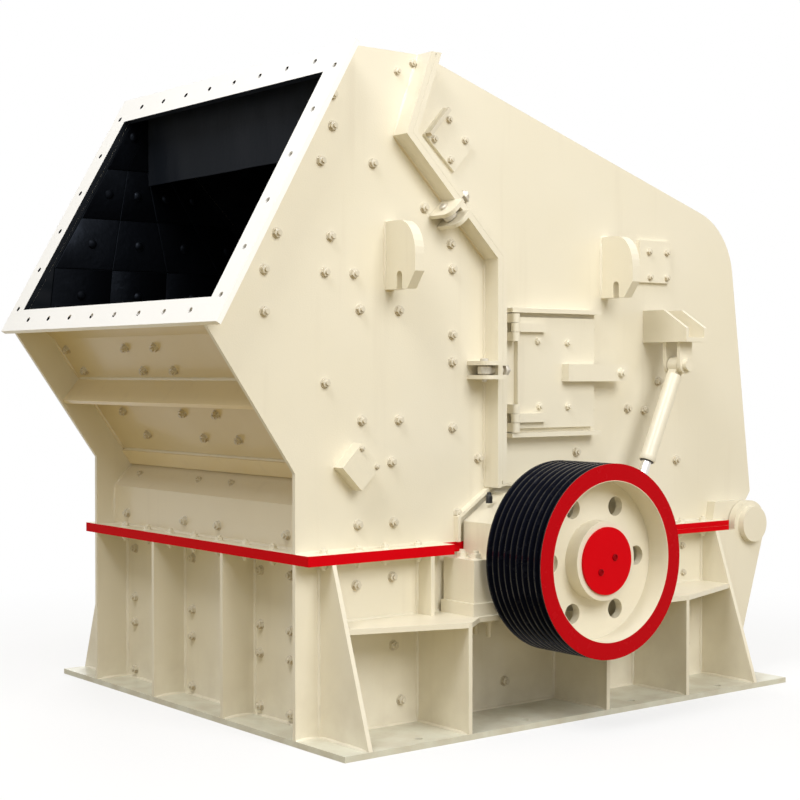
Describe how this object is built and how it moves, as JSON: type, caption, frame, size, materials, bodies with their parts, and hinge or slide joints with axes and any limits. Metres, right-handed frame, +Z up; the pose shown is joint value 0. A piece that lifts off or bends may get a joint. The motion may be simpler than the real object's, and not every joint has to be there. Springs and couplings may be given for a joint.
{
  "type": "horizontal shaft impact crusher",
  "caption": "Welded impact crusher with an inclined feed opening, a rear housing that tips back on a hinge, a blow-bar rotor and a belt pulley.",
  "frame": {"origin": "centre of the foundation bolt patterns, on the underside of the base flange", "axes": "+X along the machine from the feed opening to the rear hinge, +Y away from the drive side, +Z up"},
  "size_m": [3.305, 2.71, 2.92],
  "materials": {
    "cream_paint": "satin",
    "red_paint": "gloss",
    "black_paint": "gloss",
    "wear_steel": "rough",
    "bright_steel": "brushed",
    "curtain_rubber": "matte"
  },
  "bodies": {
    "frame": {"base_flange": "cream_paint", "lower_side_plate_near": "cream_paint", "lower_side_plate_far": "cream_paint", "lower_end_panels": "cream_paint", "lower_frame_ribs": "cream_paint", "bearing_shelves": "cream_paint", "lower_joint_flange": "red_paint", "lower_hinge_ears": "cream_paint", "bearing_housing_near": "cream_paint", "bearing_housing_far": "cream_paint", "front_side_plate_near": "cream_paint", "front_side_plate_far": "cream_paint", "front_joint_flange": "red_paint", "feed_flange": "cream_paint", "under_hopper_wall": "cream_paint", "hopper_cross_beams": "cream_paint", "front_roof": "cream_paint", "front_split_flange": "cream_paint", "front_lifting_lugs": "cream_paint", "inspection_boxes": "cream_paint", "clamp_lugs": "cream_paint", "feed_curtain": "curtain_rubber", "cylinder_feet": "cream_paint"},
    "rear_housing": {"rear_side_plate_near": "cream_paint", "rear_side_plate_far": "cream_paint", "rear_shell": "cream_paint", "rear_split_flange": "cream_paint", "rear_joint_flange": "red_paint", "door_frames": "cream_paint", "rear_lifting_lugs": "cream_paint", "rear_cover_plates": "cream_paint", "cylinder_brackets": "cream_paint", "rear_hinge_ears": "cream_paint", "impact_aprons": "wear_steel"},
    "rotor": {"rotor_shaft": "bright_steel", "rotor_discs": "wear_steel", "blow_bars": "wear_steel", "pulley": "black_paint", "hub_cap": "red_paint"},
    "door_near": {"access_door_near": "cream_paint"},
    "door_far": {"access_door_far": "cream_paint"},
    "barrel_near": {"cylinder_barrel_near": "cream_paint"},
    "barrel_far": {"cylinder_barrel_far": "cream_paint"},
    "rod_near": {"cylinder_rod_near": "cream_paint"},
    "rod_far": {"cylinder_rod_far": "cream_paint"}
  },
  "joints": [
    {"name": "rotor_spin", "type": "hinge", "parent": "frame", "child": "rotor", "pos_m": [-0.14, 0, 0.735], "axis": [0, 1, 0], "continuous": true},
    {"name": "rear_hinge", "type": "hinge", "parent": "frame", "child": "rear_housing", "pos_m": [1.383, 0, 0.773], "axis": [0, 1, 0], "range_deg": [0, 25]},
    {"name": "door_near_hinge", "type": "hinge", "parent": "rear_housing", "child": "door_near", "pos_m": [-0.2, -0.938, 1.5425], "axis": [0, 0, -1], "range_deg": [0, 100]},
    {"name": "door_far_hinge", "type": "hinge", "parent": "rear_housing", "child": "door_far", "pos_m": [-0.2, 0.938, 1.5425], "axis": [0, 0, 1], "range_deg": [0, 100]},
    {"name": "barrel_near_pivot", "type": "hinge", "parent": "rear_housing", "child": "barrel_near", "pos_m": [0.76, -1.04, 1.58], "axis": [0, 1, 0], "range_deg": [-12.5, 0.5]},
    {"name": "rod_near_slide", "type": "slide", "parent": "barrel_near", "child": "rod_near", "axis": [-0.4223, 0, -0.9065], "range_m": [0, 0.38]},
    {"name": "barrel_far_pivot", "type": "hinge", "parent": "rear_housing", "child": "barrel_far", "pos_m": [0.76, 1.04, 1.58], "axis": [0, 1, 0], "range_deg": [-12.5, 0.5]},
    {"name": "rod_far_slide", "type": "slide", "parent": "barrel_far", "child": "rod_far", "axis": [-0.4223, 0, -0.9065], "range_m": [0, 0.38]}
  ],
  "couplings": [
    {"joint": "barrel_near_pivot", "follows": "rear_hinge", "ratio": -0.48},
    {"joint": "rod_near_slide", "follows": "rear_hinge", "m_per_rad": 0.86},
    {"joint": "barrel_far_pivot", "follows": "rear_hinge", "ratio": -0.48},
    {"joint": "rod_far_slide", "follows": "rear_hinge", "m_per_rad": 0.86}
  ]
}
